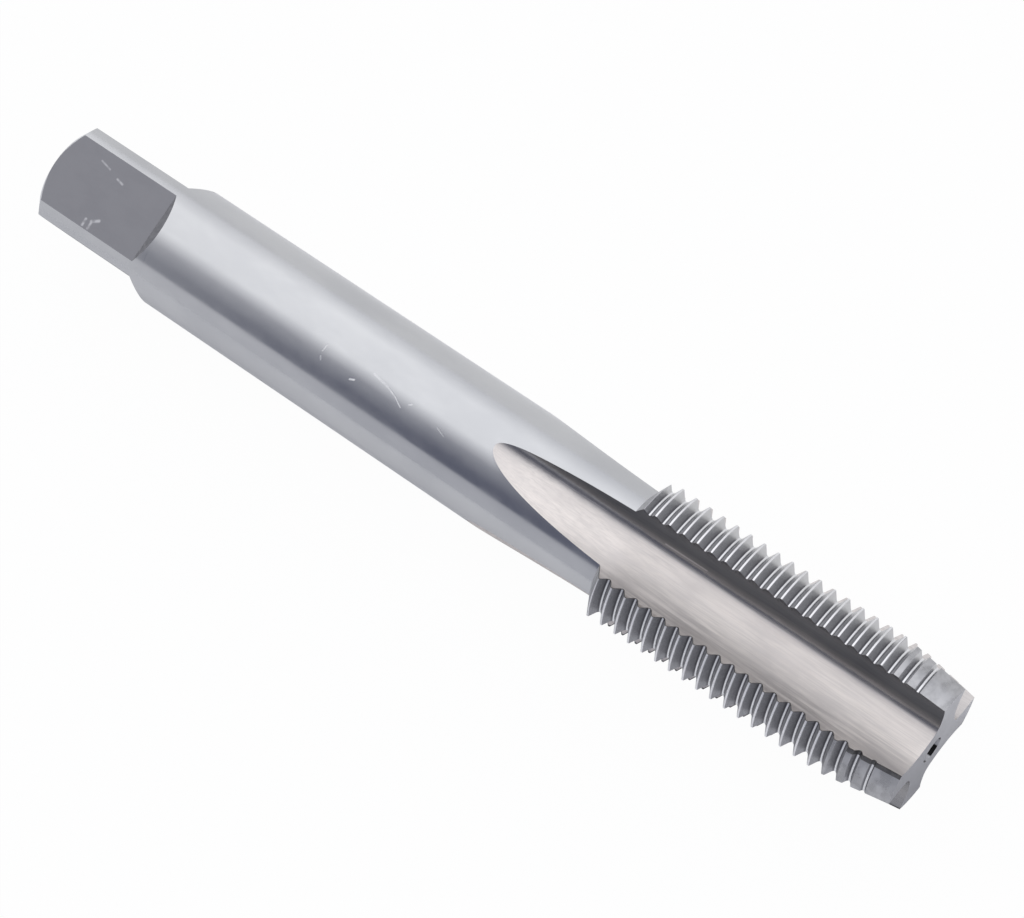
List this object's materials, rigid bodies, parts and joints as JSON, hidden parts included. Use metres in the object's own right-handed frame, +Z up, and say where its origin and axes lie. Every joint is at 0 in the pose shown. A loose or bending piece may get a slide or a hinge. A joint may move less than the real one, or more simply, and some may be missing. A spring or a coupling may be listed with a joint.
{
  "type": "thread tap",
  "caption": "Straight-fluted hand tap with a lead cone and a square drive, for cutting a right-hand fine metric thread in a drilled hole.",
  "frame": {"origin": "on the ground, under the middle of the tap's length", "axes": "+X along the tap's axis towards the cutting tip, +Z up with one flute facing up, +Y across"},
  "size_m": [0.1, 0.0142, 0.0142],
  "materials": {
    "hss_steel": "bright ground high-speed steel, milled flats on the driving square, ground flutes and thread flanks"
  },
  "bodies": {
    "root": {"tap": "hss_steel"}
  },
  "joints": []
}
